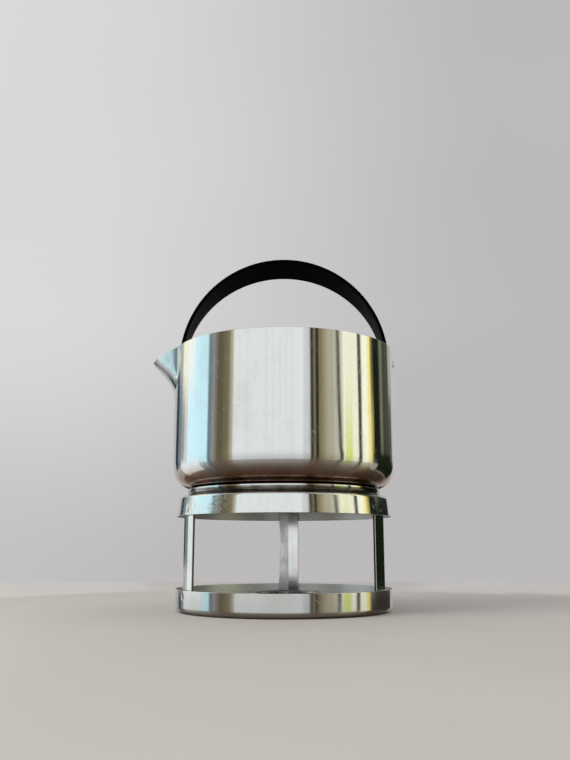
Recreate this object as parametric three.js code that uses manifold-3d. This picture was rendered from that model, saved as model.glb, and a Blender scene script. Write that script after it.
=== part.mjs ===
// Stainless teapot with a beak pressed out of its wall, a black arch handle, a hinged lid
// and a warmer stand for one tea light.
// Millimetres, +Z up. The origin is on the table, on the common axis of pot and stand.
// The beak points along -X, the lid's hinge is towards +X.

import * as THREE from 'three';
import { mergeVertices } from 'three/addons/utils/BufferGeometryUtils.js';
import Module from 'manifold-3d';

const wasm = await Module();
wasm.setup();

// Sheet and clearances
const SHEET = 0.8;
const GAP = 0.3;
const CUT_OVERRUN = 3;

// Lower tray of the stand
const TRAY_INSET = 0.3;
const TRAY_HEIGHT = 14.3;
const TRAY_DRAFT = 1.1;
const TRAY_EDGE = 3.5;
const BEAD_HEIGHT = 1;
const BEAD_WIDTH = 5;
const BEAD_SLOPE = 1.2;

// Upper ring of the stand: a shallow pan turned upside down, with a sunk seat for the pot
const STAND_HEIGHT = 72.9;
const RING_HEIGHT = 12.6;
const RING_DRAFT = 1.3;
const RING_LAND = 4;
const RING_EDGE = 2.2;
const SEAT_DEPTH = 1;
const SEAT_SLOPE = 0.8;
const SEAT_PLAY = 0.9;
const SEAT_WIDTH = 11.1;

// Legs: strips curved to the wall that they are spot-welded to
const LEG_WIDTH = 14.5;
const LEG_SHEET = 1.6;
const LEG_BACK_ANGLE = 87;
const LEG_LEFT_ANGLE = 208.5;
const LEG_RIGHT_ANGLE = 331.5;

// Candle cup
const CUP_RADIUS = 24;
const CUP_HEIGHT = 10.7;
const CUP_WALL_RADIUS = 21.8;
const CUP_DRAFT = 0.8;
const CUP_EDGE = 2.5;

// Pot body and its foot
const POT_RADIUS = 75;
const POT_HEIGHT = 93.4;
const POT_EDGE = 15.5;
const FOOT_INSET = 10.9;
const FOOT_THICKNESS = 5.8;
const FOOT_EDGE = 1;
const FOOT_ROUND = 4.2;

// Beak: how far its lip stands out, dips under the rim, spreads along the rim and runs down the wall,
// and the keel under its two flanks
const BEAK_REACH = 15.8;
const BEAK_DIP = 6.2;
const BEAK_HALF_WIDTH = 27;
const BEAK_DEPTH = 33;
const BEAK_KEEL_HALF_WIDTH = 38;
const BEAK_TIP_SHARE = 0.1;
const BEAK_REACH_POWER = 1.6;
const BEAK_KEEL_POWER = 0.3;
const BEAK_CREASE_POWER = 5;
const BEAK_ROWS = 8;

// Cover inside the rim, with the filling hole and the strainer
const COVER_DEPTH = 17;
const COLLAR_INSET = 1.7;
const COLLAR_HEIGHT = 2.5;
const STRAINER_HOLE = 1.5;
const STRAINER_PITCH = 6;
const STRAINER_ROWS = 3;
const STRAINER_SPREAD_ANGLE = 40;
const STRAINER_MARGIN = 9;

// Lid, its knob and the knob's screw
const LID_INSET = 39;
const LID_SKIRT = 2;
const LID_EDGE = 1.4;
const LID_CROWN = 3.2;
const LID_LAND = 11;
const KNOB_RADIUS = 9.5;
const KNOB_STEM = 5;
const KNOB_HEIGHT = 12.5;
const KNOB_WAIST_SHARE = 0.4;
const KNOB_BRIM_SHARE = 0.62;
const KNOB_WAIST_BEND = 4;
const KNOB_EDGE = 2.2;
const KNOB_DRAFT = 0.4;
const SCREW_RADIUS = 1.6;
const SCREW_HEAD_RADIUS = 3.6;
const SCREW_HEAD_HEIGHT = 1.6;
const SCREW_DEPTH = 8;

// Lid hinge
const HINGE_WIDTH = 24;
const HINGE_KNUCKLE = 6;
const HINGE_BARREL = 2.2;
const HINGE_PIN = 1.1;
const HINGE_PIN_GAP = 0.15;
const HINGE_LEAF = 1;
const HINGE_REACH = 11;
const HINGE_BEHIND = 2.6;

// Handle: a flat band bent to a half circle, wide on top and narrow at its ends
const ARCH_INSET = 2.9;
const ARCH_DROP = 7.7;
const BAND_THICKNESS = 2.3;
const BAND_WIDTH = 35.8;
const BAND_END_WIDTH = 16.5;
const BAND_ROUND = 0.5;
const BAND_TIP_SHARE = 0.4;
const PIVOT_DROP = 6.5;

// Brackets that carry the handle, and their rivets
const EAR_RADIUS = 5.8;
const BRACKET_SHEET = 1;
const BRACKET_FOOT = 12;
const BRACKET_FOOT_WIDTH = 18;
const RIVET_RADIUS = 2;
const RIVET_HEAD_RADIUS = 3;
const RIVET_HEAD_HEIGHT = 1.3;
const RIVET_DOME_SHARES = [[1, 0.25], [0.75, 0.75], [0.35, 1], [0, 1]];
const RIVET_CLOSING_HEIGHT = 1;
const WASHER_RADIUS = 5;
const WASHER_THICKNESS = 0.6;

// Number of facets
const SIDES = 48;
const BODY_SIDES = 64;
const LID_SIDES = 36;
const KNOB_SIDES = 20;
const SMALL_SIDES = 12;
const HOLE_SIDES = 6;
const ARCH_STEPS = 32;
const BAND_END_STEPS = 7;
const DOME_STEPS = 3;
const BEND_SAG = 0.15;
const CROWD_SHARE = 0.55;
const WELD_TOLERANCE = SHEET / 1000;

// Radii that follow from the sizes above
const footRadius = POT_RADIUS - FOOT_INSET;
const seatRadius = footRadius + SEAT_PLAY;
const mouthRadius = footRadius - SEAT_WIDTH;
const ringTopRadius = seatRadius + SEAT_SLOPE + RING_LAND;
const ringRadius = ringTopRadius + RING_DRAFT;
const trayRadius = ringRadius - TRAY_INSET;
const lidRadius = POT_RADIUS - LID_INSET;
const fillRadius = lidRadius - COLLAR_INSET;
const domeRadius = lidRadius - LID_LAND;
const archRadius = POT_RADIUS - ARCH_INSET;

// Heights and offsets that follow from the sizes above
const seatHeight = STAND_HEIGHT - SEAT_DEPTH;
const footBottom = seatHeight + GAP;
const bodyBottom = footBottom + FOOT_THICKNESS + GAP;
const rimHeight = bodyBottom + POT_HEIGHT;
const coverHeight = rimHeight - COVER_DEPTH;
const pivotHeight = rimHeight - PIVOT_DROP;
const archHeight = rimHeight - ARCH_DROP;
const lidHeight = coverHeight + COLLAR_HEIGHT + GAP + SHEET;
const hingeHeight = lidHeight + GAP + HINGE_LEAF - HINGE_BARREL;
const hingeOffset = lidRadius + HINGE_BEHIND;
const earOffset = Math.sqrt((POT_RADIUS - SHEET - GAP) ** 2 - EAR_RADIUS ** 2);
const washerTop = pivotHeight - archHeight + WASHER_RADIUS;
const washerOffset = Math.sqrt((archRadius - BAND_THICKNESS) ** 2 - washerTop ** 2) - GAP;

// Materials
const POLISHED = 0.22;
const SATIN = 0.28;
const WORN = 0.35;
const steel = (roughness) => new THREE.MeshStandardMaterial({ color: 0xc9cbcc, roughness, metalness: 1 });
const black = () => new THREE.MeshStandardMaterial({ color: 0x0b0d0d, roughness: 0.32, metalness: 0 });

// Profiles

// A line of corners, each [across, up, bend radius], with its bends rounded
function roundBends(corners) {
  const line = [];
  corners.forEach(([x, y, radius], i) => {
    const corner = new THREE.Vector2(x, y);
    if (!radius || i === 0 || i === corners.length - 1) {
      line.push(corner);
      return;
    }
    const arriving = corner.clone().sub(new THREE.Vector2(...corners[i - 1])).normalize();
    const leaving = new THREE.Vector2(...corners[i + 1]).sub(corner).normalize();
    const turn = Math.atan2(arriving.cross(leaving), arriving.dot(leaving));
    const start = corner.clone().addScaledVector(arriving, -radius * Math.tan(Math.abs(turn) / 2));
    const side = new THREE.Vector2(-arriving.y, arriving.x).multiplyScalar(Math.sign(turn));
    const centre = start.clone().addScaledVector(side, radius);
    const steps = Math.max(2, Math.ceil(Math.abs(turn) / (2 * Math.acos(1 - BEND_SAG / radius))));
    for (let k = 0; k <= steps; k++) {
      line.push(start.clone().rotateAround(centre, (turn * k) / steps));
    }
  });
  return line;
}

// The same line of corners, moved sideways: to the left of its direction where thickness is positive
function offsetCorners(corners, thickness) {
  const normals = corners.slice(1).map(([x, y], i) => {
    const along = new THREE.Vector2(x - corners[i][0], y - corners[i][1]).normalize();
    return new THREE.Vector2(-along.y, along.x);
  });
  return corners.map(([x, y, radius = 0], i) => {
    const before = normals[Math.max(i - 1, 0)];
    const after = normals[Math.min(i, normals.length - 1)];
    const mitre = before.clone().add(after).divideScalar(1 + before.dot(after));
    const turn = Math.sign(before.cross(after));
    const inner = radius && Math.max(radius - turn * thickness, SHEET / 10);
    return [x + mitre.x * thickness, y + mitre.y * thickness, inner];
  });
}

// Outline of sheet metal that follows a line of corners
function sheetOutline(corners, thickness = SHEET) {
  const far = roundBends(offsetCorners(corners, thickness)).reverse();
  return [...roundBends(corners), ...far];
}

// Solids

// A solid of revolution about Z; an outline that stays clear of the axis closes on itself
function revolve(outline, sides = SIDES) {
  const open = outline[0].x === 0;
  const profile = open ? outline : [...outline, outline[0]];
  return new THREE.LatheGeometry(profile, sides).rotateX(Math.PI / 2);
}

// A rod with its ends at two heights along Z
function rod(radius, from, to, sides = SMALL_SIDES) {
  return new THREE.CylinderGeometry(radius, radius, to - from, sides)
    .rotateX(Math.PI / 2)
    .translate(0, 0, (from + to) / 2);
}

// A shape drawn in the YZ plane, extruded along X
function plateAlongX(shape, from, to) {
  const geometry = new THREE.ExtrudeGeometry(shape, {
    depth: to - from, bevelEnabled: false, curveSegments: SMALL_SIDES / 2,
  });
  const turned = new THREE.Matrix4().makeBasis(
    new THREE.Vector3(0, 1, 0), new THREE.Vector3(0, 0, 1), new THREE.Vector3(1, 0, 0),
  );
  return geometry.applyMatrix4(turned).translate(from, 0, 0);
}

function toSolid(geometry) {
  const bare = new THREE.BufferGeometry();
  bare.setAttribute('position', geometry.getAttribute('position'));
  bare.setIndex(geometry.index);
  const merged = mergeVertices(bare, WELD_TOLERANCE);
  const corners = merged.index.array;
  const triVerts = [];
  for (let i = 0; i < corners.length; i += 3) {
    const [a, b, c] = corners.slice(i, i + 3);
    if (a !== b && b !== c && c !== a) triVerts.push(a, b, c);
  }
  return new wasm.Manifold(new wasm.Mesh({
    numProp: 3,
    vertProperties: merged.getAttribute('position').array,
    triVerts: new Uint32Array(triVerts),
  }));
}

function toGeometry(solid) {
  const { vertProperties, triVerts } = solid.getMesh();
  const geometry = new THREE.BufferGeometry();
  geometry.setAttribute('position', new THREE.BufferAttribute(vertProperties, 3));
  geometry.setIndex(new THREE.BufferAttribute(triVerts, 1));
  geometry.computeVertexNormals();
  return geometry;
}

function cut(geometry, tool) {
  return toGeometry(toSolid(geometry).subtract(toSolid(tool)));
}

function join(geometries) {
  return toGeometry(geometries.map(toSolid).reduce((whole, piece) => whole.add(piece)));
}

// Beak

// How far the wall is pushed out and drawn down, at an arc length from the beak's middle and a depth
// under the rim that are both measured on the wall before pressing. Two upright flanks rise from a fold
// in the wall and meet at the lip. The keel cuts them off below and runs down into the wall.
function beakPress(arc, depth) {
  const height = Math.max(0, 1 - depth / BEAK_DEPTH);
  const full = Math.hypot(1, BEAK_TIP_SHARE) - BEAK_TIP_SHARE;
  const flank = 1 - (Math.hypot(arc / BEAK_HALF_WIDTH, BEAK_TIP_SHARE) - BEAK_TIP_SHARE) / full;
  const keelHalf = BEAK_KEEL_HALF_WIDTH * height ** BEAK_KEEL_POWER;
  const keel = height ** BEAK_REACH_POWER * (1 - (arc / keelHalf) ** 2);
  if (!(Math.min(flank, keel) > 0)) return { out: 0, down: 0 };
  const both = flank ** -BEAK_CREASE_POWER + keel ** -BEAK_CREASE_POWER;
  const share = (2 / both) ** (1 / BEAK_CREASE_POWER);
  return { out: BEAK_REACH * share, down: BEAK_DIP * height * share };
}

// Moves every point of a revolved wall to where pressing the beak leaves it
function pressBeak(geometry) {
  const points = geometry.getAttribute('position');
  for (let i = 0; i < points.count; i++) {
    const [x, y, z] = [points.getX(i), points.getY(i), points.getZ(i)];
    const radius = Math.hypot(x, y);
    if (radius < fillRadius) continue;
    const { out, down } = beakPress(Math.atan2(y, -x) * POT_RADIUS, rimHeight - z);
    const grown = 1 + out / radius;
    points.setXYZ(i, x * grown, y * grown, z - down);
  }
  return geometry;
}

// Crowds the facets of a revolved wall towards the beak
function crowdFacets(geometry) {
  const points = geometry.getAttribute('position');
  for (let i = 0; i < points.count; i++) {
    const radius = Math.hypot(points.getX(i), points.getY(i));
    const bearing = Math.atan2(points.getY(i), -points.getX(i));
    const crowded = bearing - CROWD_SHARE * Math.sin(bearing);
    points.setXY(i, -radius * Math.cos(crowded), radius * Math.sin(crowded));
  }
  return geometry;
}

// Stand

function standTray() {
  const foot = CUP_WALL_RADIUS + GAP;
  const bead = [
    [foot, 0],
    [foot + BEAD_SLOPE, BEAD_HEIGHT],
    [foot + BEAD_WIDTH - BEAD_SLOPE, BEAD_HEIGHT],
    [foot + BEAD_WIDTH, 0],
  ];
  return revolve(sheetOutline([
    [0, 0],
    ...bead,
    [trayRadius - TRAY_DRAFT, 0, TRAY_EDGE],
    [trayRadius, TRAY_HEIGHT],
  ]));
}

function standRing() {
  return revolve(sheetOutline([
    [ringRadius, STAND_HEIGHT - RING_HEIGHT],
    [ringTopRadius, STAND_HEIGHT, RING_EDGE],
    [seatRadius + SEAT_SLOPE, STAND_HEIGHT],
    [seatRadius, seatHeight],
    [mouthRadius, seatHeight],
  ]));
}

function standLeg() {
  const bottom = TRAY_EDGE + GAP;
  const top = STAND_HEIGHT - RING_EDGE - GAP;
  const outer = ringTopRadius - SHEET - GAP;
  const halfAngle = LEG_WIDTH / 2 / outer;
  const strip = new THREE.Shape();
  strip.absarc(0, 0, outer, -halfAngle, halfAngle);
  strip.absarc(0, 0, outer - LEG_SHEET, halfAngle, -halfAngle, true);
  return new THREE.ExtrudeGeometry(strip, { depth: top - bottom, bevelEnabled: false, curveSegments: 6 })
    .translate(0, 0, bottom);
}

function candleCup() {
  const bottom = SHEET + GAP;
  const rim = bottom + CUP_HEIGHT - SHEET;
  return revolve(sheetOutline([
    [0, bottom],
    [CUP_WALL_RADIUS - CUP_DRAFT, bottom, CUP_EDGE],
    [CUP_WALL_RADIUS, rim],
    [CUP_RADIUS, rim],
  ]));
}

// Pot

// Corners up the part of the wall that the beak is pressed into
function wallRows(radius) {
  const rows = [];
  for (let row = 0; row <= BEAK_ROWS; row++) {
    rows.push([radius, rimHeight - BEAK_DEPTH * (1 - row / BEAK_ROWS)]);
  }
  return rows;
}

function potBody() {
  const corners = [[0, bodyBottom], [POT_RADIUS, bodyBottom, POT_EDGE], ...wallRows(POT_RADIUS)];
  const body = pressBeak(crowdFacets(revolve(sheetOutline(corners), BODY_SIDES)));
  const rivetHole = rod(RIVET_RADIUS + GAP, -CUT_OVERRUN, CUT_OVERRUN)
    .rotateY(Math.PI / 2)
    .translate(POT_RADIUS, 0, pivotHeight);
  return cut(body, rivetHole);
}

// Solid block that fills the pressed part of the pot up to a gap from its wall. Mirroring it lays the
// diagonals of its facets like those of the wall's inner skin
function wallFilling() {
  const corners = [[0, rimHeight - BEAK_DEPTH], ...wallRows(POT_RADIUS - SHEET - GAP), [0, rimHeight]];
  return toSolid(pressBeak(crowdFacets(revolve(roundBends(corners), BODY_SIDES)))).mirror([0, 1, 0]);
}

function potFoot() {
  const top = footBottom + FOOT_THICKNESS;
  return revolve(roundBends([
    [0, footBottom],
    [footRadius, footBottom, FOOT_ROUND],
    [footRadius, top, FOOT_EDGE],
    [0, top],
  ]));
}

function strainerHoles() {
  const holes = [];
  const spread = THREE.MathUtils.degToRad(STRAINER_SPREAD_ANGLE);
  for (let row = 0; row < STRAINER_ROWS; row++) {
    const radius = POT_RADIUS - STRAINER_MARGIN - row * STRAINER_PITCH;
    const count = Math.floor((2 * spread * radius) / STRAINER_PITCH);
    for (let k = 0; k < count; k++) {
      const bearing = Math.PI + spread * ((2 * k + 1) / count - 1);
      if (Math.abs(radius * Math.sin(bearing)) < BRACKET_FOOT_WIDTH / 2 + STRAINER_HOLE) continue;
      holes.push(
        rod(STRAINER_HOLE, coverHeight - CUT_OVERRUN, coverHeight + CUT_OVERRUN, HOLE_SIDES)
          .translate(radius * Math.cos(bearing), radius * Math.sin(bearing), 0),
      );
    }
  }
  return holes;
}

function potCover() {
  const plate = revolve(sheetOutline([
    [POT_RADIUS + BEAK_REACH, coverHeight],
    [fillRadius, coverHeight],
    [fillRadius, coverHeight + COLLAR_HEIGHT],
  ]), LID_SIDES);
  const fitted = toSolid(plate).intersect(wallFilling());
  return toGeometry(strainerHoles().reduce((rest, hole) => rest.subtract(toSolid(hole)), fitted));
}

// Lid and its hinge

function lidPlate() {
  const hole = SCREW_RADIUS + GAP;
  const dome = [];
  for (let k = 0; k < DOME_STEPS; k++) {
    const share = k / DOME_STEPS;
    dome.push([hole + (domeRadius - hole) * share, lidHeight + LID_CROWN * (1 - share ** 2)]);
  }
  return revolve(sheetOutline([
    ...dome,
    [domeRadius, lidHeight],
    [lidRadius, lidHeight, LID_EDGE],
    [lidRadius, lidHeight - LID_SKIRT],
  ], -SHEET).reverse(), LID_SIDES);
}

function lidKnob() {
  const bottom = lidHeight + LID_CROWN + GAP;
  const top = bottom + KNOB_HEIGHT;
  const bore = SCREW_RADIUS + GAP;
  const boreTop = bottom + SCREW_DEPTH + GAP;
  return revolve([
    new THREE.Vector2(0, boreTop),
    new THREE.Vector2(bore, boreTop),
    new THREE.Vector2(bore, bottom),
    ...roundBends([
      [KNOB_STEM, bottom],
      [KNOB_STEM, bottom + KNOB_HEIGHT * KNOB_WAIST_SHARE, KNOB_WAIST_BEND],
      [KNOB_RADIUS, bottom + KNOB_HEIGHT * KNOB_BRIM_SHARE, KNOB_EDGE],
      [KNOB_RADIUS - KNOB_DRAFT, top, KNOB_EDGE],
      [0, top],
    ]),
  ], KNOB_SIDES);
}

function lidScrew() {
  const under = lidHeight + LID_CROWN - SHEET - GAP;
  return revolve([
    new THREE.Vector2(0, under - SCREW_HEAD_HEIGHT),
    new THREE.Vector2(SCREW_HEAD_RADIUS, under - SCREW_HEAD_HEIGHT),
    new THREE.Vector2(SCREW_HEAD_RADIUS, under),
    new THREE.Vector2(SCREW_RADIUS, under),
    new THREE.Vector2(SCREW_RADIUS, lidHeight + LID_CROWN + SCREW_DEPTH),
    new THREE.Vector2(0, lidHeight + LID_CROWN + SCREW_DEPTH),
  ], SMALL_SIDES);
}

// One knuckle of the hinge between two places along Y
function hingeKnuckle(from, to) {
  const ring = new THREE.Shape();
  ring.absarc(0, 0, HINGE_BARREL, 0, 2 * Math.PI);
  const bore = new THREE.Path();
  bore.absarc(0, 0, HINGE_PIN + HINGE_PIN_GAP, 0, 2 * Math.PI, true);
  ring.holes.push(bore);
  const options = { depth: to - from, bevelEnabled: false, curveSegments: SMALL_SIDES / 2 };
  return new THREE.ExtrudeGeometry(ring, options)
    .rotateX(Math.PI / 2)
    .translate(hingeOffset, to, hingeHeight);
}

// A flat leaf between two places along X, clear of the pin's bore
function hingeLeaf(from, to, bottom, width) {
  return new THREE.BoxGeometry(to - from, width, HINGE_LEAF)
    .translate((from + to) / 2, 0, bottom + HINGE_LEAF / 2);
}

function hingeLeafFixed() {
  const half = HINGE_WIDTH / 2;
  const bottom = coverHeight + GAP;
  const near = hingeOffset + HINGE_BARREL + GAP;
  const armStart = hingeOffset + HINGE_LEAF;
  const pieces = [hingeLeaf(near, hingeOffset + HINGE_REACH, bottom, HINGE_WIDTH)];
  for (const inner of [-half, half - HINGE_KNUCKLE]) {
    const middle = inner + HINGE_KNUCKLE / 2;
    pieces.push(hingeLeaf(armStart, near + HINGE_LEAF, bottom, HINGE_KNUCKLE).translate(0, middle, 0));
    pieces.push(hingeKnuckle(inner, inner + HINGE_KNUCKLE));
  }
  return join(pieces);
}

function hingeLeafLid() {
  const half = HINGE_WIDTH / 2 - HINGE_KNUCKLE - GAP;
  const leaf = hingeLeaf(hingeOffset - HINGE_REACH, hingeOffset, lidHeight + GAP, 2 * half);
  return join([leaf, hingeKnuckle(-half, half)]);
}

function hingePin() {
  const half = HINGE_WIDTH / 2 + GAP;
  return rod(HINGE_PIN, -half, half).rotateX(Math.PI / 2).translate(hingeOffset, 0, hingeHeight);
}

// Handle

// Rounded-off rectangle of the band at one station, as points about its middle
function bandSection({ x, z, tilt, halfWidth }) {
  const t = BAND_THICKNESS / 2;
  const round = Math.min(BAND_ROUND, halfWidth / 2);
  const outline = [
    [t, halfWidth - round], [t - round, halfWidth], [round - t, halfWidth], [-t, halfWidth - round],
    [-t, round - halfWidth], [round - t, -halfWidth], [t - round, -halfWidth], [t, round - halfWidth],
  ];
  return outline.map(([outward, across]) => new THREE.Vector3(
    x + outward * Math.cos(tilt), across, z + outward * Math.sin(tilt),
  ));
}

// The stations of the band, from the round end inside the beak over the top to the other end
function bandStations() {
  const middle = archRadius - BAND_THICKNESS / 2;
  const lift = Math.asin((pivotHeight - archHeight) / middle);
  const end = BAND_END_WIDTH / 2;
  const roundEnd = [];
  for (let k = 1; k <= BAND_END_STEPS; k++) {
    const angle = (Math.PI / 2) * (k / (BAND_END_STEPS + BAND_TIP_SHARE));
    roundEnd.push({ z: pivotHeight - end * Math.sin(angle), halfWidth: end * Math.cos(angle) });
  }
  const arch = [];
  for (let k = 0; k <= ARCH_STEPS; k++) {
    const tilt = Math.PI - lift - ((Math.PI - 2 * lift) * k) / ARCH_STEPS;
    const rise = Math.sin(tilt) - Math.sin(lift);
    arch.push({
      x: middle * Math.cos(tilt),
      z: archHeight + middle * Math.sin(tilt),
      tilt,
      halfWidth: end + ((BAND_WIDTH - BAND_END_WIDTH) / 2) * rise,
    });
  }
  const left = roundEnd.map((station) => ({ x: -middle, tilt: Math.PI, ...station })).reverse();
  const right = roundEnd.map((station) => ({ x: middle, tilt: 0, ...station }));
  return [...left, ...arch, ...right];
}

// A closed skin over a row of sections with equal numbers of points
function loft(sections) {
  const count = sections[0].length;
  const faces = [];
  for (let s = 0; s + 1 < sections.length; s++) {
    for (let k = 0; k < count; k++) {
      const [a, b] = [s * count + k, s * count + ((k + 1) % count)];
      faces.push(a, b + count, b, a, a + count, b + count);
    }
  }
  const last = (sections.length - 1) * count;
  for (let k = 1; k + 1 < count; k++) {
    faces.push(0, k, k + 1, last, last + k + 1, last + k);
  }
  const geometry = new THREE.BufferGeometry().setFromPoints(sections.flat());
  geometry.setIndex(faces);
  return geometry;
}

function handleBand() {
  const band = loft(bandStations().map(bandSection));
  const reach = archRadius + CUT_OVERRUN;
  const bore = rod(RIVET_RADIUS + GAP, -reach, reach)
    .rotateY(Math.PI / 2)
    .translate(0, 0, pivotHeight);
  return cut(band, bore);
}

// Upright ear with its foot on the cover; side is -1 for the beak's side and 1 for the other
function handleBracket(side) {
  const foot = coverHeight + GAP;
  const ear = new THREE.Shape();
  ear.moveTo(-EAR_RADIUS, foot);
  ear.lineTo(EAR_RADIUS, foot);
  ear.absarc(0, pivotHeight, EAR_RADIUS, 0, Math.PI);
  const hole = new THREE.Path();
  hole.absarc(0, pivotHeight, RIVET_RADIUS + GAP, 0, 2 * Math.PI, true);
  ear.holes.push(hole);
  const upright = plateAlongX(ear, earOffset - BRACKET_SHEET, earOffset);
  const base = new THREE.BoxGeometry(BRACKET_FOOT, BRACKET_FOOT_WIDTH, BRACKET_SHEET)
    .translate(earOffset - BRACKET_FOOT / 2 - BRACKET_SHEET / 2, 0, foot + BRACKET_SHEET / 2);
  const bracket = join([upright, base]);
  return side > 0 ? bracket : bracket.rotateZ(Math.PI);
}

// Rivet along X with a domed head outside and a flat closing head inside the band
function handleRivet(side, headSeat) {
  const closing = washerOffset - WASHER_THICKNESS - GAP;
  const rivet = revolve([
    new THREE.Vector2(0, closing - RIVET_CLOSING_HEIGHT),
    new THREE.Vector2(RIVET_HEAD_RADIUS, closing - RIVET_CLOSING_HEIGHT),
    new THREE.Vector2(RIVET_HEAD_RADIUS, closing),
    new THREE.Vector2(RIVET_RADIUS, closing),
    new THREE.Vector2(RIVET_RADIUS, headSeat),
    new THREE.Vector2(RIVET_HEAD_RADIUS, headSeat),
    ...RIVET_DOME_SHARES.map(([across, up]) => new THREE.Vector2(
      RIVET_HEAD_RADIUS * across, headSeat + RIVET_HEAD_HEIGHT * up,
    )),
  ], SMALL_SIDES);
  return rivet.rotateY((side * Math.PI) / 2).translate(0, 0, pivotHeight);
}

function handleWasher(side) {
  const bore = RIVET_RADIUS + GAP;
  return revolve([
    new THREE.Vector2(bore, washerOffset - WASHER_THICKNESS),
    new THREE.Vector2(WASHER_RADIUS, washerOffset - WASHER_THICKNESS),
    new THREE.Vector2(WASHER_RADIUS, washerOffset),
    new THREE.Vector2(bore, washerOffset),
  ], SMALL_SIDES).rotateY((side * Math.PI) / 2).translate(0, 0, pivotHeight);
}

// Assembly

const teapot = new THREE.Group();

function place(name, geometry, material, parent = teapot) {
  const mesh = new THREE.Mesh(geometry, material);
  mesh.name = name;
  parent.add(mesh);
  return mesh;
}

place('stand_tray', standTray(), steel(SATIN));
place('stand_ring', standRing(), steel(SATIN));
const legAngles = { back: LEG_BACK_ANGLE, left: LEG_LEFT_ANGLE, right: LEG_RIGHT_ANGLE };
for (const [name, angle] of Object.entries(legAngles)) {
  place(`stand_leg_${name}`, standLeg(), steel(SATIN)).rotation.z = THREE.MathUtils.degToRad(angle);
}
place('candle_cup', candleCup(), steel(WORN));

place('pot_body', potBody(), steel(POLISHED));
place('pot_foot', potFoot(), steel(SATIN));
place('pot_cover', potCover(), steel(SATIN));

place('lid_plate', lidPlate(), steel(SATIN));
place('lid_knob', lidKnob(), black());
place('lid_screw', lidScrew(), steel(SATIN));
place('hinge_leaf_fixed', hingeLeafFixed(), steel(SATIN));
place('hinge_leaf_lid', hingeLeafLid(), steel(SATIN));
place('hinge_pin', hingePin(), steel(SATIN));

place('handle_band', handleBand(), black());
for (const [name, side] of [['left', -1], ['right', 1]]) {
  const outside = side > 0 ? POT_RADIUS : earOffset;
  place(`handle_bracket_${name}`, handleBracket(side), steel(SATIN));
  place(`handle_rivet_${name}`, handleRivet(side, outside + GAP), steel(SATIN));
  place(`handle_washer_${name}`, handleWasher(side), steel(SATIN));
}

export default teapot;
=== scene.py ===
import math

import bpy
from mathutils import Euler, Matrix, Vector


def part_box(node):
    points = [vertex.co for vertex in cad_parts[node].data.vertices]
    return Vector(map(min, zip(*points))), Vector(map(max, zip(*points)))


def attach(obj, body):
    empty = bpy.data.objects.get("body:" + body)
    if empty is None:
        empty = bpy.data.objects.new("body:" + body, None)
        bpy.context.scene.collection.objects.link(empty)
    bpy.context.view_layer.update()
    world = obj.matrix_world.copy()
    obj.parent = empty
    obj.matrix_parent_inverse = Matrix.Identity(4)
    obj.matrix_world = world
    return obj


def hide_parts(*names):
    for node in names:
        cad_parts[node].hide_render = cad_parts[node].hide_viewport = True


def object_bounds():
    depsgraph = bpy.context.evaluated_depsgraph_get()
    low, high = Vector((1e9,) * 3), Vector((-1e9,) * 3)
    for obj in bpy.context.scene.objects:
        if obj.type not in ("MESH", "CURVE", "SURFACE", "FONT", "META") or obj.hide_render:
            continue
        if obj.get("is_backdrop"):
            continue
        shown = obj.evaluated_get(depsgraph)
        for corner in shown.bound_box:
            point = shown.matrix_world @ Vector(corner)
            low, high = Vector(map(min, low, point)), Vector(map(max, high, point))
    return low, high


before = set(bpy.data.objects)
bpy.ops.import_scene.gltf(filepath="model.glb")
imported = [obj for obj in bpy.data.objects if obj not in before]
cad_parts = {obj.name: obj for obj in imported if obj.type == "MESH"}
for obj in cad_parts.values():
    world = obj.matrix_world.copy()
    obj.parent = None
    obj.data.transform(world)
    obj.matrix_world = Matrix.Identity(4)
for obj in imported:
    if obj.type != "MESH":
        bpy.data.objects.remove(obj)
cad_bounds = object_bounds()

MM = 0.001

# Sizes read from the parts in model.glb
POT_LOW, POT_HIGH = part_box("pot_body")
FOOT_LOW, FOOT_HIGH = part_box("pot_foot")
RING_LOW, RING_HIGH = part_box("stand_ring")
TRAY_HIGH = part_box("stand_tray")[1]
CUP_LOW, CUP_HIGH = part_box("candle_cup")
COVER_LOW, COVER_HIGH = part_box("pot_cover")
LID_LOW, LID_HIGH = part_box("lid_plate")
KNOB_LOW, KNOB_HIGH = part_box("lid_knob")
SCREW_LOW, SCREW_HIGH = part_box("lid_screw")
BAND_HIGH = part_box("handle_band")[1]
RIVET_LOW, RIVET_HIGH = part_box("handle_rivet_right")
INNER_RIVET_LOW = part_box("handle_rivet_left")[0]
WASHER_LOW, WASHER_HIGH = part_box("handle_washer_right")
EAR_LOW, EAR_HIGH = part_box("handle_bracket_right")
LEG_LOW, LEG_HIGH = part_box("stand_leg_back")
LEAF_LOW, LEAF_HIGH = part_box("hinge_leaf_fixed")
LID_LEAF_LOW, LID_LEAF_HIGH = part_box("hinge_leaf_lid")
PIN_LOW, PIN_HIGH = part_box("hinge_pin")

SHEET = 0.8 * MM
GAP = 0.3 * MM
EDGE = 0.3 * MM
POT_RADIUS = POT_HIGH.x
RIM_HEIGHT = POT_HIGH.z
SEAT_RADIUS = FOOT_HIGH.x + 0.9 * MM
PIVOT_HEIGHT = (WASHER_LOW.z + WASHER_HIGH.z) / 2
RIVET_RADIUS = 2 * MM
HOLE_REACH = 6 * MM
SCREW_BORE = 1.9 * MM
RING_FLARE = 1.3 * MM
CUP_FLANGE = 2.2 * MM

# Beak, pressed as in the solids
BEAK_REACH = 15.8 * MM
BEAK_DIP = 6.2 * MM
BEAK_HALF_WIDTH = 27 * MM
BEAK_DEPTH = 33 * MM
BEAK_KEEL_HALF_WIDTH = 38 * MM
BEAK_TIP_SHARE = 0.1
BEAK_REACH_POWER = 1.6
BEAK_KEEL_POWER = 0.3
BEAK_CREASE_POWER = 5

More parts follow.
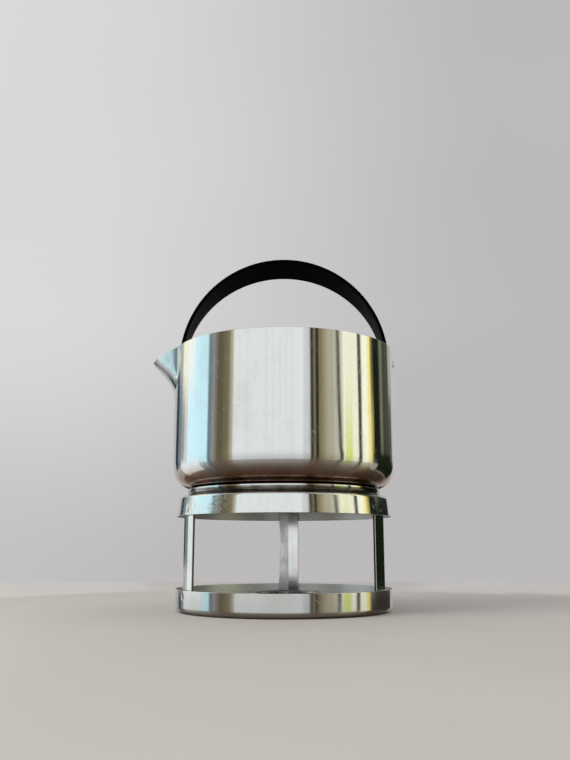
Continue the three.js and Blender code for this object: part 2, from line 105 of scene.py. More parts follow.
# How strongly the sides of turned pieces crowd towards the beak
CROWD_SHARE = 0.55

# Times that a height on the pressed wall is refined to find where it was before pressing
REACH_ROUNDS = 20

# Degrees from the side of the hinge
LEG_ANGLES = {"stand_leg_back": 87, "stand_leg_left": 208.5, "stand_leg_right": 331.5}
QUARTER = math.pi / 2
SMOOTH_STEP = math.radians(7.5)
END_STEPS = 24
END_SPARE = 0.4


# Profiles


def rounded(corners, closed=False):
    """Points of a line of corners, each (across, up, bend radius), with its bends as arcs."""
    line = []
    count = len(corners)
    for i, (x, y, radius) in enumerate(corners):
        here = Vector((x, y))
        if not radius or not (closed or 0 < i < count - 1):
            line.append(here)
            continue
        before = (here - Vector(corners[i - 1][:2])).normalized()
        after = (Vector(corners[(i + 1) % count][:2]) - here).normalized()
        turn = math.atan2(before.x * after.y - before.y * after.x, before.dot(after))
        start = here - before * radius * math.tan(abs(turn) / 2)
        side = math.copysign(1, turn)
        centre = start + Vector((-before.y, before.x)) * radius * side
        steps = max(3, round(abs(turn) / SMOOTH_STEP))
        arm = start - centre
        for k in range(steps + 1):
            cos, sin = math.cos(turn * k / steps), math.sin(turn * k / steps)
            line.append(centre + Vector((arm.x * cos - arm.y * sin, arm.x * sin + arm.y * cos)))
    return line


def offset(corners, thickness):
    """The same corners moved left of their direction, or right where the thickness is negative."""
    normals = []
    for a, b in zip(corners, corners[1:]):
        along = Vector((b[0] - a[0], b[1] - a[1])).normalized()
        normals.append(Vector((-along.y, along.x)))
    moved = []
    for i, (x, y, radius) in enumerate(corners):
        before = normals[max(i - 1, 0)]
        after = normals[min(i, len(normals) - 1)]
        mitre = (before + after) / (1 + before.dot(after))
        turn = math.copysign(1, before.x * after.y - before.y * after.x)
        bend = max(radius - turn * thickness, EDGE / 3) if radius else 0
        moved.append((x + mitre.x * thickness, y + mitre.y * thickness, bend))
    return moved


def sheet_line(corners, thickness=SHEET):
    """Outline of bent sheet with rounded free edges, and whether it closes on itself."""
    near = [list(c) for c in corners]
    far = [list(c) for c in offset(corners, thickness)][::-1]
    closed = corners[0][0] > 0
    near[-1][2] = far[0][2] = EDGE
    if closed:
        near[0][2] = far[-1][2] = EDGE
    return rounded(near + far, closed), closed


def rounded_box(half_x, half_y, radius, steps=4):
    """Points round a rectangle with rounded corners, counter-clockwise."""
    points = []
    for turn, side_x, side_y in ((0, 1, 1), (1, -1, 1), (2, -1, -1), (3, 1, -1)):
        for k in range(steps + 1):
            angle = QUARTER * (turn + k / steps)
            points.append(Vector((
                side_x * (half_x - radius) + radius * math.cos(angle),
                side_y * (half_y - radius) + radius * math.sin(angle),
            )))
    return points


def ring_line(bore, radius, low, high, edge):
    """Outline of a ring with rounded edges."""
    corners = ((bore, low), (radius, low), (radius, high), (bore, high))
    return rounded([(*corner, edge) for corner in corners], True)


def round_end():
    """Cosines and sines along a strip's round end, short of the tip so that some width is left."""
    turns = [QUARTER * k / (END_STEPS + END_SPARE) for k in range(END_STEPS + 1)]
    return [(math.cos(turn), math.sin(turn)) for turn in turns]


# Meshes


def lathe(line, closed, sides, crowd=0.0, place=None):
    """Vertices and faces of a line turned about Z; points on the axis become one vertex."""
    vertices, rings, faces = [], [], []
    for point in line:
        ring = []
        for k in range(sides if point.x > 1e-7 else 1):
            turn = 2 * math.pi * k / sides
            bearing = turn - crowd * math.sin(turn)
            spot = Vector((-point.x * math.cos(bearing), point.x * math.sin(bearing), point.y))
            ring.append(len(vertices))
            vertices.append(place(spot) if place else spot)
        rings.append(ring)
    pairs = list(zip(rings, rings[1:]))
    if closed:
        pairs.append((rings[-1], rings[0]))
    for low, high in pairs:
        for k in range(sides):
            after = (k + 1) % sides
            corners = ((low, k), (high, k), (high, after), (low, after))
            face = list(dict.fromkeys(ring[at % len(ring)] for ring, at in corners))
            if len(face) > 2:
                faces.append(tuple(face))
    return vertices, faces


def loft(sections):
    """A closed skin over a row of sections with equal numbers of points."""
    count = len(sections[0])
    faces = []
    for s in range(len(sections) - 1):
        for k in range(count):
            a, b = s * count + k, s * count + (k + 1) % count
            faces.append((a, b, b + count, a + count))
    last = (len(sections) - 1) * count
    faces.append(tuple(range(count))[::-1])
    faces.append(tuple(range(last, last + count)))
    return [point for section in sections for point in section], faces


def plate(outline, bottom, top, edge):
    """A flat plate over a counter-clockwise outline in XY, with its long edges rounded."""
    levels = []
    for k in range(4):
        angle = QUARTER * k / 3
        levels.append((edge * (1 - math.sin(angle)), bottom + edge * (1 - math.cos(angle))))
    levels += [(inset, top + bottom - z) for inset, z in levels[::-1]]
    centre = sum(outline, Vector((0, 0))) / len(outline)
    rings = []
    for inset, z in levels:
        ring = []
        for point in outline:
            arm = point - centre
            kept = centre + arm * (1 - inset / arm.length)
            ring.append(Vector((kept.x, kept.y, z)))
        rings.append(ring)
    return loft(rings)


def bent_strip(stations, thickness, edge):
    """A flat strip bent in the XZ plane.
    Each station is (x, z, angle of its outer side, half width)."""
    sections = []
    for x, z, tilt, half in stations:
        outline = rounded_box(thickness / 2, half, min(edge, half * 0.7), 6)
        cos, sin = math.cos(tilt), math.sin(tilt)
        sections.append([Vector((x + p.x * cos, p.y, z + p.x * sin)) for p in outline])
    vertices, faces = loft(sections)
    return vertices, [face[::-1] for face in faces]


def turned(part, matrix):
    return [matrix @ vertex for vertex in part[0]], part[1]


def cylinder(radius, low, high, sides=32):
    line = [Vector((0, low)), Vector((radius, low)), Vector((radius, high)), Vector((0, high))]
    return lathe(line, False, sides)


def bare_object(name, part):
    mesh = bpy.data.meshes.new(name)
    mesh.from_pydata([tuple(v) for v in part[0]], [], part[1])
    mesh.update()
    piece = bpy.data.objects.new(name, mesh)
    bpy.context.collection.objects.link(piece)
    return piece


def combined(piece, parts, operation):
    """Joins closed parts to a piece or cuts them out of it."""
    tools = [bare_object("tool", part) for part in parts]
    for tool in tools:
        change = piece.modifiers.new("change", "BOOLEAN")
        change.operation = operation
        change.object = tool
        change.solver = "EXACT"
    ready = piece.evaluated_get(bpy.context.evaluated_depsgraph_get())
    mesh = bpy.data.meshes.new_from_object(ready)
    piece.modifiers.clear()
    piece.data = mesh
    for tool in tools:
        bpy.data.objects.remove(tool)


def add_piece(name, part, body, node, material, sharp=40, joined=(), holes=()):
    """A smooth piece on a body that stands for a CAD node."""
    piece = bare_object(name, part)
    if joined:
        combined(piece, joined, "UNION")
    if holes:
        combined(piece, holes, "DIFFERENCE")
    piece.data.shade_smooth()
    piece.data.set_sharp_from_angle(angle=math.radians(sharp))
    piece.data.materials.clear()
    piece.data.materials.append(material)
    weighted = piece.modifiers.new("weighted normals", "WEIGHTED_NORMAL")
    weighted.keep_sharp = True
    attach(piece, body)
    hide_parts(node)


def beak_press(arc, depth):
    """How far the beak pushes the wall out and draws it down, at a place of the plain wall."""
    height = max(0, 1 - depth / BEAK_DEPTH)
    if height == 0 or abs(arc) >= BEAK_HALF_WIDTH:
        return 0, 0
    full = math.hypot(1, BEAK_TIP_SHARE) - BEAK_TIP_SHARE
    flank = 1 - (math.hypot(arc / BEAK_HALF_WIDTH, BEAK_TIP_SHARE) - BEAK_TIP_SHARE) / full
    keel_half = BEAK_KEEL_HALF_WIDTH * height**BEAK_KEEL_POWER
    keel = height**BEAK_REACH_POWER * (1 - (arc / keel_half) ** 2)
    if min(flank, keel) <= 0:
        return 0, 0
    both = flank**-BEAK_CREASE_POWER + keel**-BEAK_CREASE_POWER
    share = (2 / both) ** (1 / BEAK_CREASE_POWER)
    return BEAK_REACH * share, BEAK_DIP * height * share


def pressed(place):
    """Where pressing the beak leaves a point of the pot's wall."""
    radius = math.hypot(place.x, place.y)
    if radius < POT_RADIUS / 2:
        return place
    out, down = beak_press(math.atan2(place.y, -place.x) * POT_RADIUS, RIM_HEIGHT - place.z)
    grown = 1 + out / radius
    return Vector((place.x * grown, place.y * grown, place.z - down))


def wall_reach(place, clearance):
    """Radius of the pressed wall's inner skin at a place's bearing and height, less a clearance."""
    arc = math.atan2(place.y, -place.x) * POT_RADIUS
    below = RIM_HEIGHT - place.z
    depth = below
    for _ in range(REACH_ROUNDS):
        depth = below - beak_press(arc, depth)[1]
    return POT_RADIUS - SHEET - clearance + beak_press(arc, depth)[0]


# Materials


class Tree:
    """Short names for building a node material."""

    def __init__(self, name):
        self.material = bpy.data.materials.new(name)
        self.material.use_nodes = True
        self.nodes = self.material.node_tree.nodes
        self.links = self.material.node_tree.links
        self.shader = self.nodes["Principled BSDF"]

    def node(self, kind, inputs=None, **settings):
        made = self.nodes.new(kind)
        for key, value in settings.items():
            setattr(made, key, value)
        for key, value in (inputs or {}).items():
            self.feed(made.inputs[key], value)
        return made

    def feed(self, socket, value):
        if isinstance(value, bpy.types.NodeSocket):
            self.links.new(value, socket)
        else:
            socket.default_value = value

    def math(self, operation, *values):
        return self.node("ShaderNodeMath", dict(enumerate(values)), operation=operation).outputs[0]

    def times(self, *values):
        product = values[0]
        for value in values[1:]:
            product = self.math("MULTIPLY", product, value)
        return product

    def plus(self, *values):
        total = values[0]
        for value in values[1:]:
            total = self.math("ADD", total, value)
        return total

    def noise(self, vector, scale=1.0, detail=3.0, roughness=0.5):
        inputs = {"Vector": vector, "Scale": scale, "Detail": detail, "Roughness": roughness}
        return self.node("ShaderNodeTexNoise", inputs).outputs["Fac"]

    def ramp(self, value, low, high, out_low=0.0, out_high=1.0):
        inputs = {"Value": value, "From Min": low, "From Max": high}
        inputs |= {"To Min": out_low, "To Max": out_high}
        made = self.node("ShaderNodeMapRange", inputs, interpolation_type="SMOOTHSTEP")
        return made.outputs["Result"]

    def mix(self, share, first, second):
        made = self.node("ShaderNodeMix", data_type="RGBA")
        self.feed(made.inputs["Factor"], share)
        self.feed(made.inputs[6], first)
        self.feed(made.inputs[7], second)
        return made.outputs[2]

    def bump(self, relief):
        inputs = {"Strength": 1.0, "Distance": 1.0, "Height": relief}
        return self.node("ShaderNodeBump", inputs).outputs[0]

    def shade(self, **inputs):
        for key, value in inputs.items():
            self.feed(self.shader.inputs[key.replace("_", " ")], value)

    def show(self, shader):
        """Puts another shader in the place of the Principled one."""
        self.nodes.remove(self.shader)
        self.links.new(shader, self.nodes["Material Output"].inputs["Surface"])

    def place(self):
        return self.node("ShaderNodeTexCoord").outputs["Object"]

    def split(self, vector):
        return self.node("ShaderNodeSeparateXYZ", {0: vector}).outputs

    def stretched(self, parts, scales):
        """Three parts as a vector, each with its own number of features per metre."""
        scaled = [self.times(part, scale) for part, scale in zip(parts, scales)]
        return self.node("ShaderNodeCombineXYZ", dict(enumerate(scaled))).outputs[0]

    def turned_place(self):
        """Object place as arc length on the pot's wall, radius and height, in metres."""
        x, y, z = self.split(self.place())
        radius = self.math("SQRT", self.plus(self.times(x, x), self.times(y, y)))
        return self.times(self.math("ARCTAN2", y, x), POT_RADIUS), radius, z

    def band(self, value, low, high, soft):
        """1 between low and high, and 0 outside them, with soft ends inside them."""
        rising = self.ramp(value, low, low + soft)
        return self.times(rising, self.ramp(value, high - soft, high, 1.0, 0.0))

    def outward(self):
        """How far the surface faces away from the Z axis, from -1 to 1."""
        coordinates = self.node("ShaderNodeTexCoord").outputs
        x, y, _ = self.split(coordinates["Object"])
        across, along, _ = self.split(coordinates["Normal"])
        radius = self.distance((x, 0.0), (y, 0.0))
        return self.math("DIVIDE", self.plus(self.times(x, across), self.times(y, along)), radius)

    def distance(self, *pairs):
        """Distance between two places, given as one pair of coordinates for each axis."""
        apart = [self.plus(first, -second) for first, second in pairs]
        return self.math("SQRT", self.plus(*(self.times(part, part) for part in apart)))

    def scratches(self, along, up, angle, thin, long, low, high):
        """Sparse straight scratches at an angle to the horizontal."""
        cos, sin = math.cos(math.radians(angle)), math.sin(math.radians(angle))
        run = self.plus(self.times(along, cos), self.times(up, sin))
        rise = self.plus(self.times(along, -sin), self.times(up, cos))
        lines = self.noise(self.stretched((run, rise, run), (long, thin, 0.0)), 1, 1)
        return self.ramp(lines, low, high)


STEEL = (0.645, 0.65, 0.65, 1)
STEEL_DULL = (0.55, 0.545, 0.53, 1)
STEEL_SPECK = (0.80, 0.80, 0.79, 1)
# Painted darker reflection in mottled bands
STEEL_DIMMED_REFLECTION = (0.43, 0.43, 0.42, 1)
# Painted brown reflection of the table
STEEL_PAINTED_REFLECTION = (0.23, 0.10, 0.04, 1)
# Painted shade
STEEL_PAINTED_SHADE = (0.11, 0.105, 0.085, 1)
# Darker steel of the candle cup below its rim
STEEL_DARKER = (0.045, 0.042, 0.036, 1)

# Marks on the steel, as features per metre round the axis, across and up
HAIRLINES = (14, 4200, 5200)
STREAKS = (9, 350, 420)
WIPES = (34, 34, 26)
CLOUDS = (110, 110, 90)
SPECKS = (1500, 1500, 1500)
FLECKS = (420, 420, 900)
BLOTCHES = (260, 260, 90)
SWELLS = (34, 34, 9)

# Sets of scratches, each (angle, features per metre across and along, noise level
# where they start, noise level where they are full)
SCRATCHES = (
    (-32, 2600, 75, 0.735, 0.77),
    (24, 2200, 60, 0.745, 0.78),
    (71, 2400, 90, 0.75, 0.79),
)

# Relief, in metres
HAIRLINE_HEIGHT = 0.000004
SCRATCH_DEPTH = 0.000012
SPECK_DEPTH = 0.000008
WELD_RADIUS = 2.6 * MM
WELD_DEPTH = 0.12 * MM
# Soft sides and ends of the bands with painted darker reflections
DIMMED_SIDE = 0.4 * MM
DIMMED_END = 3 * MM


def arc_at(angle):
    """Arc length on the pot's wall for an angle in degrees."""
    return math.radians(angle) * POT_RADIUS


def steel_material(
    name, roughness, anisotropy, wear,
    waves=0.0, inner=0.0, shaded_edges=False, stain_and_painted_shade=None, welds=(), patches=(), dimmed_reflections=(),
):
    """Stainless sheet brushed round the Z axis, with hairlines, wipe marks and scratches.

    waves is the depth of its shallow unevenness.
    inner is the extra roughness of a side that faces the axis.
    shaded_edges paints shade on the edges left by shearing, which face neither to the axis nor away
    from it, and makes them rougher.
    stain_and_painted_shade is the heights between which a tint fades out, and the tint; on the foot
    the tint is painted shade, on the pot's bottom a painted reflection of the table.
    welds are the spot welds, each (angle, height).
    patches are worn places, each (angle, height, radius).
    dimmed_reflections are mottled places with a painted darker reflection and real extra roughness,
    each (first angle, last angle, low, high).
    """
    tree = Tree(name)
    place = tree.turned_place()
    arc, _, height = place

    def marks(scales, detail, gain=0.5):
        return tree.noise(tree.stretched(place, scales), 1, detail, gain)

    hairlines = marks(HAIRLINES, 4, 0.6)
    streaks = marks(STREAKS, 3)
    wiped = marks(WIPES, 4)
    cloud = marks(CLOUDS, 5, 0.6)
    specks = marks(SPECKS, 2)
    fine, crossed, steep = (tree.scratches(arc, height, *kind) for kind in SCRATCHES)
    scratches = tree.math("MAXIMUM", tree.math("MAXIMUM", fine, crossed), steep)
    scratches = tree.times(scratches, tree.ramp(wiped, 0.42, 0.62))
    dull = tree.ramp(wiped, 0.5, 0.75, 0.0, wear)
    mottled = tree.times(tree.ramp(cloud, 0.5, 0.66), wear)
    spotted = tree.times(tree.ramp(specks, 0.6, 0.72), tree.ramp(cloud, 0.54, 0.64, 0.1, 1.0), wear)
    colour = tree.mix(dull, STEEL, STEEL_DULL)
    colour = tree.mix(tree.times(mottled, 0.35), colour, STEEL_DULL)
    colour = tree.mix(tree.times(spotted, 0.6), colour, STEEL_SPECK)
    # A tint that fades out upwards: painted shade on the foot, a painted reflection of the table on
    # the pot's bottom, and on the cup a darker tone below its rim.
    if stain_and_painted_shade:
        low, high, tint = stain_and_painted_shade
        fading = tree.ramp(height, low, high, 1.0, 0.0)
        tint_share = tree.times(fading, tree.ramp(cloud, 0.3, 0.6, 0.7, 1.0))
        colour = tree.mix(tint_share, colour, tint)
    rough = tree.plus(
        roughness - 0.015,
        tree.times(streaks, 0.03),
        tree.times(dull, 0.04),
        tree.times(scratches, 0.2),
        tree.times(spotted, 0.2),
        tree.times(mottled, 0.03),
    )
    flecks = tree.ramp(marks(FLECKS, 4, 0.7), 0.42, 0.58)
    for angle, level, reach in patches:
        away = tree.distance((arc, arc_at(angle)), (height, level))
        scuffed = tree.times(flecks, tree.ramp(away, reach / 3, reach, 1.0, 0.0))
        colour = tree.mix(tree.times(scuffed, 0.5), colour, STEEL_SPECK)
        rough = tree.plus(rough, tree.times(scuffed, 0.3))
    blotches = tree.ramp(marks(BLOTCHES, 5, 0.7), 0.3, 0.7, 0.4, 1.0)
    # Painted darker reflections in mottled bands, with real extra roughness.
    for first, last, low, high in dimmed_reflections:
        across = tree.band(arc, arc_at(first), arc_at(last), DIMMED_SIDE)
        dimmed = tree.times(across, tree.band(height, low, high, DIMMED_END), blotches)
        colour = tree.mix(dimmed, colour, STEEL_DIMMED_REFLECTION)
        rough = tree.plus(rough, tree.times(dimmed, 0.12))
    # Painted shade on the edges left by shearing, with real extra roughness.
    if shaded_edges:
        edge_shade = tree.ramp(tree.math("ABSOLUTE", tree.outward()), 0.3, 0.7, 1.0, 0.0)
        colour = tree.mix(edge_shade, colour, STEEL_PAINTED_SHADE)
        rough = tree.plus(rough, tree.times(edge_shade, 0.25))
    if inner:
        turned_in = tree.ramp(tree.outward(), -0.6, -0.2, 1.0, 0.0)
        rough = tree.plus(rough, tree.times(turned_in, inner))
        anisotropy = tree.ramp(turned_in, 0, 1, anisotropy, 0.2)
    relief = tree.plus(
        tree.times(hairlines, HAIRLINE_HEIGHT),
        tree.times(scratches, -SCRATCH_DEPTH),
        tree.times(spotted, -SPECK_DEPTH),
    )
    if waves:
        relief = tree.plus(relief, tree.times(marks(SWELLS, 2), waves))
    for angle, level in welds:
        away = tree.distance((arc, arc_at(angle)), (height, level))
        dimple = tree.ramp(away, WELD_RADIUS / 3, WELD_RADIUS, -WELD_DEPTH, 0.0)
        relief = tree.plus(relief, dimple)
    tangent = tree.node("ShaderNodeTangent", direction_type="RADIAL", axis="Z")
    tree.shade(
        Base_Color=colour, Metallic=1.0, Roughness=rough, Anisotropic=anisotropy,
        Anisotropic_Rotation=0.25, Tangent=tangent.outputs[0], Normal=tree.bump(relief),
    )
    return tree.material


COAT_BLACK = (0.0008, 0.001, 0.001, 1)
COAT_DUSTY = (0.002, 0.0025, 0.0026, 1)
COAT_WORN = (0.02, 0.023, 0.025, 1)
COAT_GRAIN = 0.000006


def black_material(name, roughness, gloss):
    """Black satin coat with a fine orange-peel surface, dusty patches and paler wear."""
    tree = Tree(name)
    place = tree.place()
    dust = tree.noise(place, 60, 5)
    grain = tree.noise(place, 2600, 2)
    worn = tree.noise(place, 420, 4, 0.7)
    colour = tree.mix(tree.ramp(dust, 0.45, 0.8), COAT_BLACK, COAT_DUSTY)
    colour = tree.mix(tree.ramp(worn, 0.68, 0.74, 0.0, 0.3), colour, COAT_WORN)
    tree.shade(
        Base_Color=colour,
        Roughness=tree.ramp(dust, 0.3, 0.8, roughness - 0.05, roughness + 0.08),
        Specular_IOR_Level=gloss,
        Normal=tree.bump(tree.times(grain, COAT_GRAIN)),
    )
    return tree.material


# Spot welds through ring and tray, as angle from the middle of a leg and height
WELD_PLACES = ((-9, RING_LOW.z + 6 * MM), (-3, RING_LOW.z + 4 * MM), (1, TRAY_HIGH.z - 4 * MM))
weld_spots = []
for leg_angle in LEG_ANGLES.values():
    side = -1 if 180 < leg_angle < 270 else 1
    middle = leg_angle if leg_angle < 180 else leg_angle - 360
    weld_spots += [(middle + side * turn, level) for turn, level in WELD_PLACES]

pot_steel = steel_material(
    "steel_pot", roughness=0.115, anisotropy=0.965, wear=0.45, waves=0.12 * MM, inner=0.15,
    # The pot's bottom gets a painted brown reflection of the table, fading out upwards.
    stain_and_painted_shade=(POT_LOW.z + 2 * MM, POT_LOW.z + 14 * MM, STEEL_PAINTED_REFLECTION),
    # Beside the beak, near the rim, a painted darker reflection.
    dimmed_reflections=[(-180, -158, RIM_HEIGHT - 22 * MM, RIM_HEIGHT + 3 * MM)],
)
foot_steel = steel_material(
    "steel_foot", roughness=0.14, anisotropy=0.8, wear=0.6,
    # The foot is darker below its top edge: painted shade in the gap between pot and ring.
    stain_and_painted_shade=(FOOT_HIGH.z - 1.4 * MM, FOOT_HIGH.z - 0.6 * MM, STEEL_PAINTED_SHADE),
)
stand_steel = steel_material(
    "steel_stand", roughness=0.13, anisotropy=0.88, wear=0.6, waves=0.12 * MM, inner=0.3,
    welds=weld_spots,
    patches=[(-123, RING_LOW.z + 7 * MM, 9 * MM), (-129, RING_LOW.z + 3 * MM, 6 * MM)],
)
inside_steel = steel_material("steel_inside", roughness=0.3, anisotropy=0.4, wear=0.8)
cup_steel = steel_material(
    "steel_cup", roughness=0.3, anisotropy=0.3, wear=0.9,
    # The cup is darker below its rim.
    stain_and_painted_shade=(CUP_HIGH.z - 1.4 * MM, CUP_HIGH.z - 0.4 * MM, STEEL_DARKER),
)
strip_steel = steel_material(
    # The legs' edges get painted shade.
    "steel_strip", roughness=0.08, anisotropy=0.8, wear=0.7, waves=0.15 * MM, shaded_edges=True,
    # One half of the back leg has a painted darker reflection.
    dimmed_reflections=[(87, 92.8, 0, RING_HIGH.z)],
)
black_handle = black_material("coat_handle", roughness=0.4, gloss=0.006)
black_knob = black_material("coat_knob", roughness=0.3, gloss=0.4)


# Pot


def rivet_hole(side):
    place = Matrix.Translation((side * POT_RADIUS, 0, PIVOT_HEIGHT))
    hole = cylinder(RIVET_RADIUS + GAP, -HOLE_REACH, HOLE_REACH)
    return turned(hole, place @ Matrix.Rotation(QUARTER, 4, "Y"))


def make_pot():
    """The wall bends up in a tight arc, then in a wide one, and has rows of points for the beak."""
    rows = 56
    start = RIM_HEIGHT - BEAK_DEPTH
    corners = [
        (0, POT_LOW.z, 0),
        (POT_RADIUS - 2.36 * MM, POT_LOW.z, 15 * MM),
        (POT_RADIUS, POT_LOW.z + 16.8 * MM, 53 * MM),
    ]
    corners += [(POT_RADIUS, start + BEAK_DEPTH * k / rows, 0) for k in range(rows)]
    corners += [(POT_RADIUS, RIM_HEIGHT, 0)]
    part = lathe(*sheet_line(corners), 384, CROWD_SHARE, pressed)
    add_piece("pot_wall", part, "pot", "pot_body", pot_steel, sharp=60, holes=[rivet_hole(1)])


def make_foot():
    radius = FOOT_HIGH.x
    corners = [
        (0, FOOT_LOW.z, 0),
        (radius, FOOT_LOW.z, 4.2 * MM),
        (radius, FOOT_HIGH.z, 0.4 * MM),
        (0, FOOT_HIGH.z, 0),
    ]
    add_piece("pot_foot_disc", lathe(rounded(corners), False, 256), "pot", "pot_foot", foot_steel)


STRAINER_HOLE = 1.5 * MM
STRAINER_PITCH = 6 * MM
STRAINER_SPREAD = math.radians(40)


def strainer_holes(level):
    holes = []
    for row in range(3):
        radius = POT_RADIUS - 9 * MM - row * STRAINER_PITCH
        count = math.floor(2 * STRAINER_SPREAD * radius / STRAINER_PITCH)
        for k in range(count):
            bearing = math.pi + STRAINER_SPREAD * ((2 * k + 1) / count - 1)
            x, y = radius * math.cos(bearing), radius * math.sin(bearing)
            if abs(y) > EAR_HIGH.y + STRAINER_HOLE:
                hole = cylinder(STRAINER_HOLE, -3 * MM, 3 * MM, 24)
                holes.append(turned(hole, Matrix.Translation((x, y, level))))
    return holes


def make_cover():
    fill = LID_HIGH.x - 1.7 * MM
    top = COVER_LOW.z + SHEET
    reach = POT_RADIUS + BEAK_REACH

    def fitted(place):
        radius = math.hypot(place.x, place.y)
        if radius < POT_RADIUS:
            return place
        share = (wall_reach(place, GAP) - reach + radius) / radius
        return Vector((place.x * share, place.y * share, place.z))

    line, closed = sheet_line([(reach, top, 0), (fill, top, 0.6 * MM), (fill, COVER_HIGH.z, 0)])
    part = lathe(line, closed, 256, CROWD_SHARE, fitted)
    add_piece("pot_cover_sheet", part, "pot", "pot_cover", inside_steel, holes=strainer_holes(top))


# Brackets, rivets and washers of the handle


def make_brackets():
    thickness = 1 * MM
    bend = 1.6 * MM
    wide = EAR_HIGH.y
    narrow = EAR_HIGH.z - PIVOT_HEIGHT
    corner = 2 * MM
    foot = EAR_LOW.z + thickness / 2
    ear = EAR_HIGH.x - thickness / 2
    stations = []
    for k in range(9):
        share = k / 8
        cut_away = corner * (1 - math.sqrt(1 - (1 - share) ** 2))
        stations.append((EAR_LOW.x + corner * share, foot, QUARTER, wide - cut_away))
    stations.append((ear - bend - 3 * MM, foot, QUARTER, wide))
    for k in range(7):
        angle = QUARTER * k / 6
        x = ear - bend * (1 - math.sin(angle))
        z = foot + bend * (1 - math.cos(angle))
        half = wide + (narrow - wide) * (0.6 + 0.4 * k / 6)
        stations.append((x, z, QUARTER + angle, half))
    stations.append((ear, foot + bend + 1 * MM, math.pi, narrow))
    for cos, sin in round_end():
        stations.append((ear, PIVOT_HEIGHT + narrow * sin, math.pi, narrow * cos))
    part = bent_strip(stations, thickness, thickness / 4)
    for name, side in (("left", -1), ("right", 1)):
        node = f"handle_bracket_{name}"
        sheet = turned(part, Matrix.Rotation(math.pi if side < 0 else 0, 4, "Z"))
        add_piece(f"{node}_sheet", sheet, "pot", node, inside_steel, holes=[rivet_hole(side)])


def along_x(side):
    """Turns a part about Z into one about the handle's axis, towards one side."""
    return Matrix.Translation((0, 0, PIVOT_HEIGHT)) @ Matrix.Rotation(side * QUARTER, 4, "Y")


def make_rivets():
    closing = RIVET_LOW.x
    closing_top = closing + 1 * MM
    head = RIVET_HIGH.z - PIVOT_HEIGHT
    for name, side, tip in (("left", -1, -INNER_RIVET_LOW.x), ("right", 1, RIVET_HIGH.x)):
        seat = tip - 1.3 * MM
        cheek = seat + 0.3 * MM
        points = rounded([
            (0, closing, 0),
            (head, closing, EDGE),
            (head, closing_top, EDGE / 2),
            (RIVET_RADIUS, closing_top, 0),
            (RIVET_RADIUS, seat, 0),
            (head, seat, EDGE / 2),
            (head, cheek, 0),
        ])
        for k in range(1, 12):
            angle = QUARTER * k / 12
            points.append(Vector((head * math.cos(angle), cheek + (tip - cheek) * math.sin(angle))))
        points.append(Vector((0, tip)))
        node = f"handle_rivet_{name}"
        part = turned(lathe(points, False, 48), along_x(side))
        add_piece(f"{node}_turned", part, "pot", node, stand_steel)


def make_washers():
    low, high = WASHER_LOW.x, WASHER_HIGH.x
    bore = RIVET_RADIUS + GAP
    radius = WASHER_HIGH.z - PIVOT_HEIGHT
    edge = (high - low) / 5
    line = ring_line(bore, radius, low, high, edge)
    for name, side in (("left", -1), ("right", 1)):
        node = f"handle_washer_{name}"
        part = turned(lathe(line, True, 48), along_x(side))
        add_piece(f"{node}_ring", part, "pot", node, inside_steel)


# Stand


def make_ring():
    corners = [
        (RING_HIGH.x, RING_LOW.z, 0),
        (RING_HIGH.x - RING_FLARE, RING_HIGH.z, 2.2 * MM),
        (SEAT_RADIUS + 0.8 * MM, RING_HIGH.z, 0.4 * MM),
        (SEAT_RADIUS, RING_HIGH.z - 1 * MM, 0.4 * MM),
        (FOOT_HIGH.x - 11.1 * MM, RING_HIGH.z - 1 * MM, 0),
    ]
    add_piece("ring_sheet", lathe(*sheet_line(corners), 256), "stand", "stand_ring", stand_steel)


def make_tray():
    foot = CUP_HIGH.x - CUP_FLANGE + GAP
    corners = [
        (0, 0, 0),
        (foot, 0, 1 * MM),
        (foot + 1.2 * MM, 1 * MM, 1 * MM),
        (foot + 3.8 * MM, 1 * MM, 1 * MM),
        (foot + 5 * MM, 0, 1 * MM),
        (TRAY_HIGH.x - 0.3 * MM, 0, 4 * MM),
        (TRAY_HIGH.x, TRAY_HIGH.z, 0),
    ]
    add_piece("tray_sheet", lathe(*sheet_line(corners), 256), "stand", "stand_tray", stand_steel)


def make_legs():
    thickness = 1.6 * MM
    outer = RING_HIGH.x - RING_FLARE - SHEET - GAP
    middle = outer - thickness / 2
    corners = rounded_box(7.25 * MM, thickness / 2, 0.35 * MM)
    section = []
    for here, after in zip(corners, corners[1:] + corners[:1]):
        steps = 12 if (after - here).length > thickness else 1
        section += [here.lerp(after, k / steps) for k in range(steps)]
    rows = 24
    for node, angle in LEG_ANGLES.items():
        levels = []
        for row in range(rows + 1):
            z = LEG_LOW.z + (LEG_HIGH.z - LEG_LOW.z) * row / rows
            level = []
            for point in section:
                bearing = math.radians(angle) - point.x / outer
                radius = middle + point.y
                level.append(Vector((radius * math.cos(bearing), radius * math.sin(bearing), z)))
            levels.append(level)
        add_piece(f"{node}_strip", loft(levels), "stand", node, strip_steel)


def make_cup():
    wall = CUP_HIGH.x - CUP_FLANGE
    corners = [
        (0, CUP_LOW.z, 0),
        (wall - 0.8 * MM, CUP_LOW.z, 2.5 * MM),
        (wall, CUP_HIGH.z - SHEET, 0.5 * MM),
        (CUP_HIGH.x, CUP_HIGH.z - SHEET, 0),
    ]
    add_piece("candle_cup_sheet", lathe(*sheet_line(corners), 128), "cup", "candle_cup", cup_steel)


# Lid


